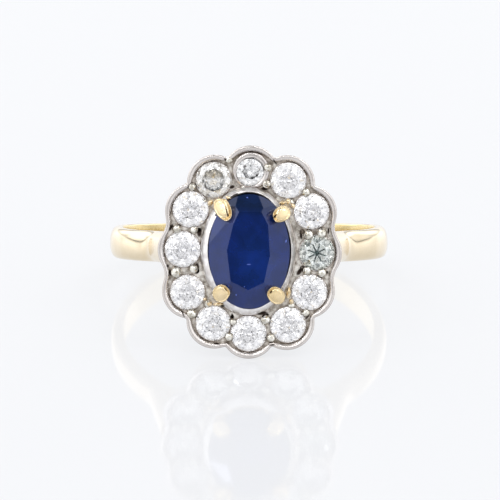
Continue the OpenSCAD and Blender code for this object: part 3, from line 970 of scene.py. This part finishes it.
def make_lip():
    """The lip over the first stone's edge."""
    bm = bmesh.new()
    x, y, _ = STONES[0]
    rings = []
    for r, z in LIP_SECTION:
        lean = LIP_LEAN * max(0.0, LIP_BEND_R - r)
        rings.append(circle_points(x + lean.x, y + lean.y, r, z, LIP_CORNERS))
    loft(bm, rings, closed=True)
    return make_piece("stone_lip", bm, HEAD, (WHITE,))


# The claws

# A claw's head in section, from under the stone's edge to the middle of its top: the share
# of the outline, the height, and the share of the burr's depth.
CLAW_SECTION = [
    (0.75, 0.55, 0), (1.0, 1.1, 0), (1.1, 1.55, 0), (1.1, 1.8, 0), (1.05, 1.92, 0),
    (0.98, 1.95, 0), (0.91, 1.93, 0.6), (0.85, 1.92, 1.0), (0.78, 1.94, 0.4), (0.6, 1.97, 0),
    (0.3, 1.985, 0),
]
# How much a claw's top falls away outward.
CLAW_FALL = 0.22


def make_claw_heads():
    """The claws' heads: each a filed dome with a burnished edge over the stone."""
    bm = bmesh.new()
    for outline, burr_way, burr in CLAW_HEADS:
        corners = [Vector((x, y, 0)) for x, y in outline]
        middle = sum(corners, Vector()) / len(corners)
        outward = middle.normalized()
        inner = unit_at(math.radians(burr_way))
        rings = []
        for share, height, depth in CLAW_SECTION:
            ring = []
            for corner in corners:
                spoke = corner - middle
                facing = max(0.0, spoke.normalized().dot(inner)) ** 2
                fall = CLAW_FALL * spoke.dot(outward) * share
                lift = Vector((0, 0, height - fall - depth * burr * facing))
                ring.append(middle + spoke * share + lift)
            rings.append(ring)
        loft(bm, rings)
    heads = make_piece("claw_heads", bm, HEAD, (CLAW_GOLD,), sharp=180)
    soften = heads.modifiers.new("soften", "SUBSURF")
    soften.levels = soften.render_levels = 2
    return heads


# The claws' wires stand on an oval of these half widths, this high over the setting's foot.
# They end this far under and outside of the claws' own places.
FOOT_OVAL = (2.05, 2.35)
FOOT_RISE = 0.3
KNEE = 0.12
# The oval wire that joins them: half the width of its inside, and its section, as how far
# out and how high over the setting's foot.
BASE_WIRE_A = 1.62
BASE_WIRE = [
    (0.0, 0.1), (0.1, 0.0), (0.5, 0.0), (0.6, 0.1), (0.6, 0.5), (0.5, 0.6), (0.1, 0.6),
    (0.0, 0.5),
]


def make_claws():
    """The claws' wires and the oval wire that joins them."""
    bm = bmesh.new()
    for x, y in CLAWS:
        way = Vector((x, y, 0)).normalized()
        foot = Vector((way.x * FOOT_OVAL[0], way.y * FOOT_OVAL[1], BASE_Z + FOOT_RISE))
        knee = Vector((x, y, CLAW_HEAD_Z - KNEE)) + way * KNEE
        rod = knee - foot
        turn = rod.to_track_quat("Z", "Y").to_matrix().to_4x4()
        bmesh.ops.create_cone(
            bm, cap_ends=True, segments=28, radius1=CLAW_WIRE_R, radius2=CLAW_WIRE_R,
            depth=rod.length, matrix=Matrix.Translation(foot.lerp(knee, 0.5)) @ turn,
        )
    grow = BASE_WIRE_A - WALL_A
    loft(bm, [oval_points(grow + out, BASE_Z + z) for out, z in BASE_WIRE], closed=True)
    return make_piece("claws", bm, HEAD, (CLAW_GOLD,), sharp=28)


# Solder of yellow gold where the claws pass the wall: x, y, z, half length, half width and
# turn in degrees.
SOLDER_LUMPS = [
    (2.66, 3.28, 0.42, 0.17, 0.22, 10), (2.98, 2.98, 0.38, 0.20, 0.15, -60),
    (-2.62, -3.62, 0.40, 0.20, 0.16, 30), (2.86, -3.45, 0.40, 0.20, 0.15, -60),
    (2.66, -2.86, 0.52, 0.40, 0.17, 85), (-2.58, 3.20, 0.45, 0.24, 0.18, 60),
    (-1.36, 3.52, 0.55, 0.24, 0.13, -30), (2.30, 3.20, 0.52, 0.30, 0.13, 10),
    (-2.05, -3.62, 0.52, 0.36, 0.13, 5), (-2.95, -3.30, 0.34, 0.14, 0.12, 0),
]
SOLDER_HALF_T = 0.15


def make_solder():
    """The lumps of solder by the claws."""
    bm = bmesh.new()
    for x, y, z, long, wide, turn in SOLDER_LUMPS:
        place = (
            Matrix.Translation((x, y, z)) @ Matrix.Rotation(math.radians(turn), 4, "Z")
            @ Matrix.Diagonal((long, wide, SOLDER_HALF_T, 1))
        )
        bmesh.ops.create_uvsphere(bm, u_segments=20, v_segments=12, radius=1.0, matrix=place)
    return make_piece("solder", bm, HEAD, (SOLDER,))


def set_material(node, material):
    """Gives a node of the solids its material. Its mesh stays as it is."""
    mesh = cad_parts[node].data
    mesh.materials.clear()
    mesh.materials.append(material)


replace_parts(make_shank(), "shank")
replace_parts(make_head(), "cluster_mount")
make_wall()
make_grains()
make_lip()
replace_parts(make_claws(), "claw_setting")
make_claw_heads()
make_solder()
set_material("sapphire", SAPPHIRE)
for number, (x, y, d) in enumerate(STONES, 1):
    name = f"diamond_{number:02d}"
    kind = DIAMOND_KINDS.get(number, WHITISH)
    set_material(name, diamond(name + "_cut", x, y, d, **kind))


# The studio

def direction(azimuth, elevation):
    """A direction from the ring. Azimuth 0 is towards the camera, 90 to its right."""
    a, e = math.radians(azimuth), math.radians(elevation)
    return Vector((math.sin(a) * math.cos(e), -math.cos(a) * math.cos(e), math.sin(e)))


# The light of the white room, and its tone.
ROOM_LIGHT = 1.0
ROOM_TONE = (0.985, 0.99, 1.0, 1)
# Soft panels round the ring: azimuth, elevation, where each is full and where it ends in
# degrees from its middle, and its brightness.
PANELS = [
    (-75, 35, 15, 45, 1.2),
    (75, 35, 15, 45, 1.2),
    (180, 45, 20, 60, 1.3),
    (-118, 21, 12, 22, 2.0),
    (118, 21, 12, 22, 1.3),
    (-148, 21, 12, 22, 2.0),
    (148, 21, 12, 22, 2.0),
    (-86, 20, 5, 14, 2.2),
    (-38, 32, 10, 24, 1.65),
    (38, 32, 10, 24, 1.65),
    (0, 75, 6, 20, 0.35),
    (180, 84.5, 5, 13, 0.15),
    (180, 4, 8, 26, 0.7),
    (0, 14.4, 2.5, 8, 0.1),
    (58, 14, 2, 4, 6.0),
]
# Small bright lamps, all alike, that make the stones sparkle: azimuth and elevation.
LAMPS = [
    (-35, 58), (38, 50), (-150, 60), (140, 55), (-100, 52), (-62, 44), (14, 60), (72, 62),
    (98, 46), (-14, 42), (178, 38),
]
LAMP = (2, 4, 13.5)
# The dim gap between the floor and the panels at both sides: how high it goes, as a sine,
# and then its azimuth, its two reaches in degrees and its brightness.
GAP_TOP = 0.04
GAP_AZIMUTH = 108
GAP = (10, 22, 0.42)

# The floor: half its side in metres, its own tone, the even glow of the lit white under its
# gloss, and the gloss.
FLOOR_HALF = 3.0
FLOOR_TONE = (0.14, 0.142, 0.146, 1)
FLOOR_GLOW = (0.965, 0.975, 1.0, 1)
FLOOR_GLOW_STRENGTH = 0.685
FLOOR_ROUGH = 0.06
FLOOR_INDEX = 1.23

# The camera, in metres: the point that it looks at, how far off it is, how many degrees over
# the floor, and its lens in millimetres.
CAMERA_AIM = Vector((0.00008, 0.0027316, 0.0030075))
CAMERA_AWAY = 0.4
CAMERA_ELEVATION = 18.6
CAMERA_LENS = 414.0
CAMERA_SENSOR = 36.0
CAMERA_CLIP = (0.01, 20.0)


def lit_panel(tree, way, light, middle, full, end, brightness, within=None):
    """The light so far with a panel over it. It is soft between its two reaches, and can be
    kept within a part of the room."""
    toward = tree.nodes.new("ShaderNodeVectorMath")
    toward.operation = "DOT_PRODUCT"
    fill_in(tree, toward, {0: way, 1: direction(*middle)})
    edge, core = math.cos(math.radians(end)), math.cos(math.radians(full))
    share = carried(tree, toward.outputs["Value"], edge, core, 0.0, 1.0, "SMOOTHSTEP")
    if within is not None:
        share = reckoned(tree, "MULTIPLY", share, within)
    node = tree.nodes.new("ShaderNodeMix")
    fill_in(tree, node, {"Factor": share, "A": light, "B": brightness})
    return node.outputs["Result"]


def make_light():
    """The white room with its panels, its lamps and the gap over the floor."""
    world = bpy.data.worlds.new("studio")
    bpy.context.scene.world = world
    world.use_nodes = True
    tree = world.node_tree
    way = tree.nodes.new("ShaderNodeTexCoord").outputs["Generated"]
    light = ROOM_LIGHT
    for azimuth, elevation, *reach_and_brightness in PANELS:
        light = lit_panel(tree, way, light, (azimuth, elevation), *reach_and_brightness)
    for place in LAMPS:
        light = lit_panel(tree, way, light, place, *LAMP)
    low = reckoned(tree, "COMPARE", part_of(tree, way, "Z"), GAP_TOP / 2, GAP_TOP / 2)
    for azimuth in (-GAP_AZIMUTH, GAP_AZIMUTH):
        light = lit_panel(tree, way, light, (azimuth, 0), *GAP, low)
    fill_in(tree, tree.nodes["Background"], {"Color": ROOM_TONE, "Strength": light})
    bpy.context.scene.view_settings.view_transform = "Standard"


def make_floor():
    """The glossy white surface that the ring lies on."""
    bm = bmesh.new()
    bmesh.ops.create_grid(bm, x_segments=1, y_segments=1, size=FLOOR_HALF)
    mesh = bpy.data.meshes.new("floor")
    bm.to_mesh(mesh)
    bm.free()
    material, tree, shader = new_material("floor_gloss")
    fill_in(tree, shader, {
        "Base Color": FLOOR_TONE, "Emission Color": FLOOR_GLOW,
        "Emission Strength": FLOOR_GLOW_STRENGTH, "Roughness": FLOOR_ROUGH, "IOR": FLOOR_INDEX,
    })
    mesh.materials.append(material)
    floor = bpy.data.objects.new("floor", mesh)
    bpy.context.scene.collection.objects.link(floor)


def make_camera():
    """The camera of the photo."""
    camera = bpy.data.objects.new("camera", bpy.data.cameras.new("camera"))
    camera.data.lens = CAMERA_LENS
    camera.data.sensor_width = CAMERA_SENSOR
    camera.data.clip_start, camera.data.clip_end = CAMERA_CLIP
    back = direction(0, CAMERA_ELEVATION)
    camera.location = CAMERA_AIM + back * CAMERA_AWAY
    camera.rotation_mode = "QUATERNION"
    camera.rotation_quaternion = (-back).to_track_quat("-Z", "Y")
    bpy.context.scene.collection.objects.link(camera)
    bpy.context.scene.camera = camera


make_light()
make_floor()
make_camera()
